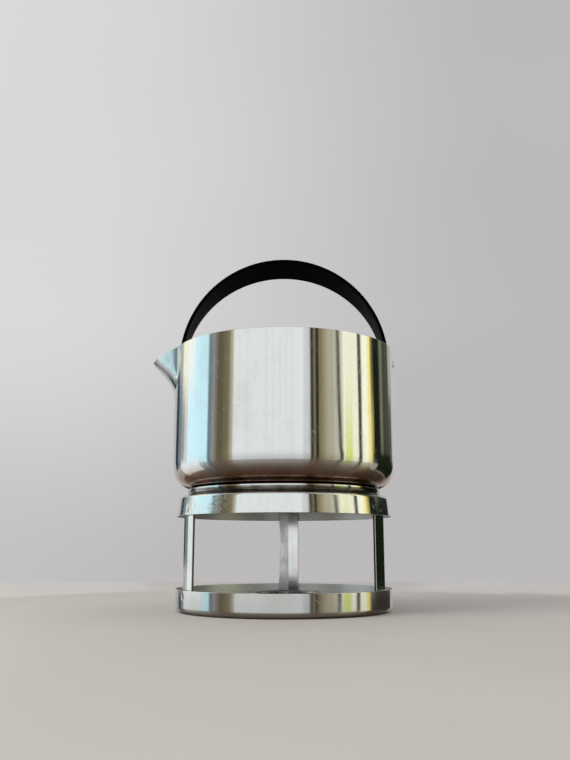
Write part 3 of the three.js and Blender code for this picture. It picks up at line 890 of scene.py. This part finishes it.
def make_lid():
    hole = SCREW_BORE
    crown = 3.2 * MM
    dome = LID_HIGH.x - 11 * MM
    flat = LID_HIGH.z - crown
    steps = 24
    corners = []
    for k in range(steps):
        share = k / steps
        corners.append((hole + (dome - hole) * share, flat + crown * (1 - share**2), 0))
    corners += [(dome, flat, 2 * MM), (LID_HIGH.x, flat, 1.4 * MM), (LID_HIGH.x, LID_LOW.z, 0)]
    line, closed = sheet_line(corners, -SHEET)
    add_piece("lid_sheet", lathe(line[::-1], closed, 192), "lid", "lid_plate", inside_steel)


def make_knob():
    bottom, top, radius = KNOB_LOW.z, KNOB_HIGH.z, KNOB_HIGH.x
    height = top - bottom
    bore = SCREW_BORE
    bore_top = SCREW_HIGH.z + 2 * GAP
    corners = [
        (0, bore_top, 0),
        (bore, bore_top, 0),
        (bore, bottom, EDGE),
        (5 * MM, bottom, EDGE),
        (5 * MM, bottom + 0.4 * height, 4 * MM),
        (radius, bottom + 0.62 * height, 2.2 * MM),
        (radius - 0.4 * MM, top, 2.2 * MM),
        (0, top, 0),
    ]
    add_piece("lid_knob_turned", lathe(rounded(corners), False, 96), "lid", "lid_knob", black_knob)


def make_screw():
    low, high = SCREW_LOW.z, SCREW_HIGH.z
    seat = low + 1.6 * MM
    corners = [
        (0, low, 0),
        (3.6 * MM, low, 0.4 * MM),
        (3.6 * MM, seat, 0.2 * MM),
        (1.6 * MM, seat, 0),
        (1.6 * MM, high, EDGE),
        (0, high, 0),
    ]
    slot = plate(rounded_box(5 * MM, 0.5 * MM, 0.1 * MM), -1 * MM, 0.7 * MM, 0.05 * MM)
    add_piece(
        "lid_screw_turned", lathe(rounded(corners), False, 64), "lid", "lid_screw", inside_steel,
        holes=[turned(slot, Matrix.Translation((0, 0, low)))],
    )


def make_hinge():
    axis_x = (PIN_LOW.x + PIN_HIGH.x) / 2
    axis_z = (PIN_LOW.z + PIN_HIGH.z) / 2
    pin = PIN_HIGH.z - axis_z
    barrel = 2.2 * MM
    bore = pin + 0.15 * MM
    knuckle = 6 * MM
    leaf = 1 * MM
    edge = 0.2 * MM
    along_y = Matrix.Translation((axis_x, 0, axis_z)) @ Matrix.Rotation(-QUARTER, 4, "X")

    def tube(low, high):
        return turned(lathe(ring_line(bore, barrel, low, high, edge), True, 48), along_y)

    def tongue(x_low, x_high, half_y, y, bottom):
        outline = rounded_box((x_high - x_low) / 2, half_y, 0.8 * MM)
        place = Matrix.Translation(((x_low + x_high) / 2, y, bottom))
        return turned(plate(outline, 0, leaf, edge), place)

    half = PIN_HIGH.y - GAP
    near = axis_x + barrel + GAP
    arms = []
    for side in (-1, 1):
        middle = side * (half - knuckle / 2)
        start = axis_x + bore + edge
        arms.append(tongue(start, near + 2 * leaf, knuckle / 2, middle, LEAF_LOW.z))
        arms.append(tube(middle - knuckle / 2, middle + knuckle / 2))
    sheet = tongue(near, LEAF_HIGH.x, half, 0, LEAF_LOW.z)
    add_piece("hinge_leaf_fixed_sheet", sheet, "pot", "hinge_leaf_fixed", inside_steel, joined=arms)
    half = LID_LEAF_HIGH.y
    sheet = tongue(LID_LEAF_LOW.x, axis_x, half, 0, LID_LEAF_HIGH.z - leaf)
    add_piece(
        "hinge_leaf_lid_sheet", sheet, "lid", "hinge_leaf_lid", inside_steel,
        joined=[tube(-half, half)],
    )
    corners = [
        (0, PIN_LOW.y, 0),
        (pin, PIN_LOW.y, edge),
        (pin, PIN_HIGH.y, edge),
        (0, PIN_HIGH.y, 0),
    ]
    rod = turned(lathe(rounded(corners), False, 32), along_y)
    add_piece("hinge_pin_rod", rod, "pot", "hinge_pin", inside_steel)


# Handle


def make_handle():
    thickness = 2.3 * MM
    middle = BAND_HIGH.x - thickness / 2
    arch = BAND_HIGH.z - BAND_HIGH.x
    end = 8.25 * MM
    widening = 9.65 * MM
    lift = math.asin((PIVOT_HEIGHT - arch) / middle)
    tip = [(PIVOT_HEIGHT - end * sin, end * cos) for cos, sin in round_end()[1:]]
    stations = [(-middle, z, math.pi, half) for z, half in tip[::-1]]
    steps = 160
    for k in range(steps + 1):
        tilt = math.pi - lift - (math.pi - 2 * lift) * k / steps
        half = end + widening * (math.sin(tilt) - math.sin(lift))
        stations.append((middle * math.cos(tilt), arch + middle * math.sin(tilt), tilt, half))
    stations += [(middle, z, 0.0, half) for z, half in tip]
    add_piece(
        "handle_band_bent", bent_strip(stations, thickness, 0.75 * MM), "handle", "handle_band",
        black_handle, holes=[rivet_hole(1), rivet_hole(-1)],
    )


make_pot()
make_foot()
make_cover()
make_brackets()
make_rivets()
make_washers()
make_ring()
make_tray()
make_legs()
make_cup()
make_lid()
make_knob()
make_screw()
make_hinge()
make_handle()


# Light and background

WALL = (0.57, 0.555, 0.545, 1)
WALL_LIT = (0.70, 0.695, 0.695, 1)
WALL_DIM = (0.50, 0.49, 0.49, 1)
WALL_REFLECTED = (0.62, 0.605, 0.595, 1)
ROOM_LIGHT = (0.95, 0.97, 1.0, 1)
ROOM_STRENGTH = 0.75


def make_world():
    world = bpy.data.worlds.new("studio")
    bpy.context.scene.world = world
    world.use_nodes = True
    nodes, links = world.node_tree.nodes, world.node_tree.links
    soft = nodes["Background"]
    soft.inputs["Color"].default_value = ROOM_LIGHT
    soft.inputs["Strength"].default_value = ROOM_STRENGTH
    path = nodes.new("ShaderNodeLightPath")

    def backdrop(colour):
        made = nodes.new("ShaderNodeBackground")
        made.inputs["Color"].default_value = colour
        return made

    def mixed(share, first, second):
        mix = nodes.new("ShaderNodeMixShader")
        links.new(share, mix.inputs[0])
        links.new(first.outputs[0], mix.inputs[1])
        links.new(second.outputs[0], mix.inputs[2])
        return mix

    either = nodes.new("ShaderNodeMath")
    either.operation = "MAXIMUM"
    links.new(path.outputs["Is Glossy Ray"], either.inputs[0])
    links.new(path.outputs["Is Transmission Ray"], either.inputs[1])
    reflected = mixed(either.outputs[0], soft, backdrop(WALL_REFLECTED))
    seen = mixed(path.outputs["Is Camera Ray"], reflected, backdrop(WALL))
    links.new(seen.outputs[0], nodes["World Output"].inputs["Surface"])


def hide_from(piece, *rays):
    for ray in rays:
        setattr(piece, f"visible_{ray}", False)


def only_reflected(card):
    hide_from(card, "camera", "diffuse", "shadow")
    card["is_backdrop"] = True


def rectangle(name, half, low, high, corner):
    """A rectangle from -half to half in X and from low to high in the other direction.
    corner gives the place of an (x, other) pair."""
    pairs = ((-half, low), (half, low), (half, high), (-half, high))
    return bare_object(name, ([Vector(corner(x, other)) for x, other in pairs], [(0, 1, 2, 3)]))


def emission(name, colour, folds):
    """Even light with faint upright folds, as in a curtain."""
    tree = Tree(name)
    wave = tree.noise(tree.stretched(tree.split(tree.place()), (16, 16, 0.4)), 1, 4)
    light = tree.ramp(wave, 0.3, 0.7, 1 - folds, 1 + folds)
    glow = tree.node("ShaderNodeEmission", {"Color": (*colour, 1), "Strength": light})
    tree.show(glow.outputs[0])
    return tree.material


CARD_DISTANCE = 1.6
NEARER = 0.97 * CARD_DISTANCE
CARD_TOP = 1.6
CARD_STEP = 3
CARD_FOLDS = 0.06

# The few colours of the room that the steel reflects
DAYLIGHT = (1.1, 1.15, 1.13)
SKY = (0.9, 1.3, 1.42)
SUNLIGHT = (1.35, 1.34, 1.05)
YELLOW = (1.4, 1.2, 0.42)
LEAF_LIGHT = (0.95, 1.1, 0.3)
SLATE = (0.2, 0.27, 0.31)
LINEN = (0.6, 0.55, 0.4)
TIMBER = (0.3, 0.26, 0.15)
BARK = (0.09, 0.092, 0.065)
FOLIAGE = (0.01, 0.015, 0.008)
GLOOM = (0.02, 0.015, 0.008)


def reflector(
    name, start, end, colour, light=1.0, folds=CARD_FOLDS,
    top=CARD_TOP, lean=0.0, distance=CARD_DISTANCE,
):
    """An upright curved card between two bearings from the camera's side, for reflections alone."""
    steps = max(2, round((end - start) / CARD_STEP))
    vertices, faces = [], []
    for k in range(steps + 1):
        for z, shift in ((0, 0), (top, lean)):
            angle = math.radians(start + (end - start) * k / steps + shift)
            vertices.append(Vector((distance * math.sin(angle), -distance * math.cos(angle), z)))
    for k in range(steps):
        faces.append((2 * k, 2 * k + 1, 2 * k + 3, 2 * k + 2))
    card = bare_object(name, (vertices, faces))
    card.data.materials.append(emission(name, [light * part for part in colour], folds))
    only_reflected(card)


def make_cards():
    """A plain room around the object: cards as high as a wall, and lower ones a little nearer.
    Each is (name, first bearing, last bearing, colour, light), and then its folds or its top."""
    for name, start, end, colour, *look in (
        ("corner", -150, -135, DAYLIGHT, 0.49),
        ("pillar", -135, -126, DAYLIGHT, 0.54),
        ("lamp", -126, -113, SUNLIGHT),
        ("blind", -113, -101, DAYLIGHT, 1.2),
        ("sky", -101, -81, SKY),
        ("slate", -81, -76.5, SLATE),
        ("slate_pale", -76.5, -72, DAYLIGHT, 0.35),
        ("stone", -72, -69, LINEN, 0.47),
        ("shutter_dark", -69, -62.5, TIMBER, 0.55),
        ("shutter", -62.5, -58.5, TIMBER, 0.75),
        ("shutter_pale", -58.5, -54.5, TIMBER),
        ("jamb", -54.5, -51, LINEN),
        ("window", -51, 19, DAYLIGHT, 1.0, 0.05),
        ("window_side", 19, 25.6, DAYLIGHT, 0.82),
        ("curtain_rod", 25.6, 28.6, GLOOM),
        ("curtain_edge", 28.6, 31, TIMBER),
        ("curtain_gap", 31, 34, GLOOM, 0.7),
        ("curtain_dark", 34, 37.5, TIMBER, 1.0, 0.15),
        ("curtain", 37.5, 41, TIMBER, 1.5),
        ("curtain_pale", 41, 49.5, LINEN, 1.0, 0.12),
        ("curtain_end", 49.5, 57, SUNLIGHT, 0.55),
        ("garden_pale", 57, 60.5, SUNLIGHT, 0.7),
        ("garden", 60.5, 78.3, SUNLIGHT, 1.0, 0.08),
        ("bar", 78.3, 83, GLOOM, 1.5),
        ("pane", 83, 92.5, SUNLIGHT, 1.07),
        ("yellow", 92.5, 97, YELLOW),
        ("ochre", 97, 100.5, YELLOW, 0.16),
        ("leaves", 100.5, 113, FOLIAGE, 1.1, 0.4),
        ("twig", 113, 119, BARK, 2.8),
        ("trunk", 119, 134.5, BARK, 1.0, 0.3),
        ("wall_end", 134.5, 144, DAYLIGHT, 0.44),
    ):
        reflector(name, start, end, colour, *look)
    for name, start, end, colour, light, top in (
        ("doorway", -143, -134.5, SLATE, 0.18, 0.5),
        ("pillar_foot", -134.5, -127, SLATE, 1.1, 0.45),
        ("lamp_side", -127, -119.5, DAYLIGHT, 0.38, 0.43),
        ("lamp_sill", -119.5, -113, DAYLIGHT, 0.77, 0.43),
        ("blind_low", -112, -101, SKY, 1.05, 0.46),
        ("garden_bush", 62, 71, LEAF_LIGHT, 1.0, 0.36),
        ("ochre_low", 97, 101, YELLOW, 0.57, 0.38),
        ("hedge", 99, 136, FOLIAGE, 0.85, 0.26),
        ("wall_foot", 134.5, 142, BARK, 1.3, 0.42),
    ):
        reflector(name, start, end, colour, light, top=top, distance=NEARER)
    reflector("post", 56.6, 60.2, GLOOM, 0.7, lean=-6, top=0.85, distance=NEARER)
    reflector("lamp_low", -126, -118, DAYLIGHT, 1.2, top=0.12, distance=0.9 * CARD_DISTANCE)
    reflector("bright_low", -112, -80, DAYLIGHT, 1.0, top=0.09, distance=0.22)
    reflector("shrub", 98, 136, FOLIAGE, 1.1, top=0.11, distance=0.3)


WALL_PLACE = 0.45
WALL_HALF = 0.6
WALL_HEIGHT = 1.1
SHADE_HALF = 0.17
SHADE_HEIGHT = 0.2
SHADE_PLACE = WALL_PLACE + 0.03
SHADE_DARK = (0.03, 0.026, 0.022)
TABLE_HALF = 1.7
TABLE_BACK = 0.27
TABLE_LEVEL = 0.0001
TABLE_STEPS = 32
TABLE_DARK = (0.14, 0.10, 0.07, 1)
TABLE_PALE = (0.21, 0.155, 0.115, 1)
FLOOR_HALF = 3.0
FLOOR_DARK = (0.60, 0.55, 0.50, 1)
FLOOR_PALE = (0.66, 0.62, 0.57, 1)


def make_shade():
    """Dark low panel behind the object, seen in reflections alone."""
    panel = rectangle(
        "shade_panel", SHADE_HALF, 0, SHADE_HEIGHT, lambda x, z: (x, SHADE_PLACE, z)
    )
    panel.data.materials.append(emission("shade_panel", SHADE_DARK, 0.3))
    only_reflected(panel)


def make_table():
    """Glossy brownish table top, round at the back, that shows in the steel alone."""
    edge = [(-TABLE_HALF, -TABLE_HALF), (TABLE_HALF, -TABLE_HALF), (TABLE_HALF, 0)]
    for k in range(TABLE_STEPS + 1):
        angle = math.pi * k / TABLE_STEPS
        edge.append((TABLE_BACK * math.cos(angle), TABLE_BACK * math.sin(angle)))
    edge.append((-TABLE_HALF, 0))
    corners = [Vector((x, y, TABLE_LEVEL)) for x, y in edge]
    table = bare_object("table", (corners, [tuple(range(len(corners)))]))
    tree = Tree("table")
    grain = tree.noise(tree.stretched(tree.split(tree.place()), (90, 6, 1)), 1, 4)
    tree.shade(
        Base_Color=tree.mix(grain, TABLE_DARK, TABLE_PALE), Roughness=0.4, IOR=1.2,
        Coat_Weight=1.0, Coat_Roughness=0.1, Coat_IOR=1.45,
    )
    table.data.materials.append(tree.material)
    only_reflected(table)


def make_floor():
    """Pale floor, whose part behind the wall stays out of reflections, as the wall does."""
    tree = Tree("floor")
    shade = tree.noise(tree.place(), 7, 6)
    tree.shade(Base_Color=tree.mix(shade, FLOOR_DARK, FLOOR_PALE), Roughness=0.6)
    for name, front, back in (
        ("floor", -FLOOR_HALF, WALL_PLACE),
        ("floor_behind_wall", WALL_PLACE, FLOOR_HALF),
    ):
        floor = rectangle(name, FLOOR_HALF, front, back, lambda x, y: (x, y, 0))
        floor.data.materials.append(tree.material)
        floor.visible_glossy = front < 0
        floor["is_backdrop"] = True


def make_backdrop():
    """Pale wall behind the object, with painted light: brighter towards the left and darker towards
    the bottom.
    Only the camera sees it, and from behind it is clear."""
    wall = rectangle("backdrop", WALL_HALF, 0, WALL_HEIGHT, lambda x, z: (x, WALL_PLACE, z))
    tree = Tree("backdrop")
    x, _, z = tree.split(tree.place())
    cloud = tree.noise(tree.stretched((x, x, z), (2.5, 0, 2.5)), 1, 4)
    share = tree.plus(
        tree.ramp(x, -0.35, 0.35), tree.ramp(z, 0.0, 0.35, 0.8, 0.0), tree.times(cloud, 0.3), -0.15,
    )
    colour = tree.mix(share, WALL_LIT, WALL_DIM)
    glow = tree.node("ShaderNodeEmission", {"Color": colour, "Strength": 1.0}).outputs[0]
    clear = tree.node("ShaderNodeBsdfTransparent").outputs[0]
    behind = tree.node("ShaderNodeNewGeometry").outputs["Backfacing"]
    one_sided = tree.node("ShaderNodeMixShader", {0: behind, 1: glow, 2: clear})
    tree.show(one_sided.outputs[0])
    wall.data.materials.append(tree.material)
    hide_from(wall, "glossy", "diffuse", "transmission", "shadow")
    wall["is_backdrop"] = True


KEY_PLACE = Vector((-1.2, -0.7, 1.1))
KEY_TARGET = Vector((0, 0, 0.1))
KEY_SIZE = 0.9
KEY_POWER = 12


def make_key():
    """Soft square lamp in front of the object, to the left, that doesn't show in the steel."""
    light = bpy.data.lights.new("key", "AREA")
    light.shape = "RECTANGLE"
    light.size = light.size_y = KEY_SIZE
    light.energy = KEY_POWER
    lamp = bpy.data.objects.new("key", light)
    lamp.location = KEY_PLACE
    lamp.rotation_euler = (KEY_TARGET - KEY_PLACE).to_track_quat("-Z", "Y").to_euler()
    hide_from(lamp, "glossy")
    bpy.context.collection.objects.link(lamp)


make_world()
make_cards()
make_shade()
make_table()
make_floor()
make_backdrop()
make_key()


# Camera; the picture's height and the focal length are in pixels

PICTURE_HEIGHT = 760
FOCAL_LENGTH = 797.8
SENSOR = 36
CAMERA_PLACE = (0, -0.5423, 0.0396)
CAMERA_TILT = math.radians(90 + 11.94)
CAMERA_PAN = -0.0013

camera = bpy.data.cameras.new("camera")
camera.sensor_width = SENSOR
camera.lens = SENSOR * FOCAL_LENGTH / PICTURE_HEIGHT
camera.clip_start = 0.01
camera_object = bpy.data.objects.new("camera", camera)
bpy.context.collection.objects.link(camera_object)
camera_object.location = CAMERA_PLACE
camera_object.rotation_euler = Euler((CAMERA_TILT, 0, CAMERA_PAN))
bpy.context.scene.camera = camera_object
bpy.context.scene.view_settings.view_transform = "Standard"

[[list(corner) for corner in box] for box in (cad_bounds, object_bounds())]
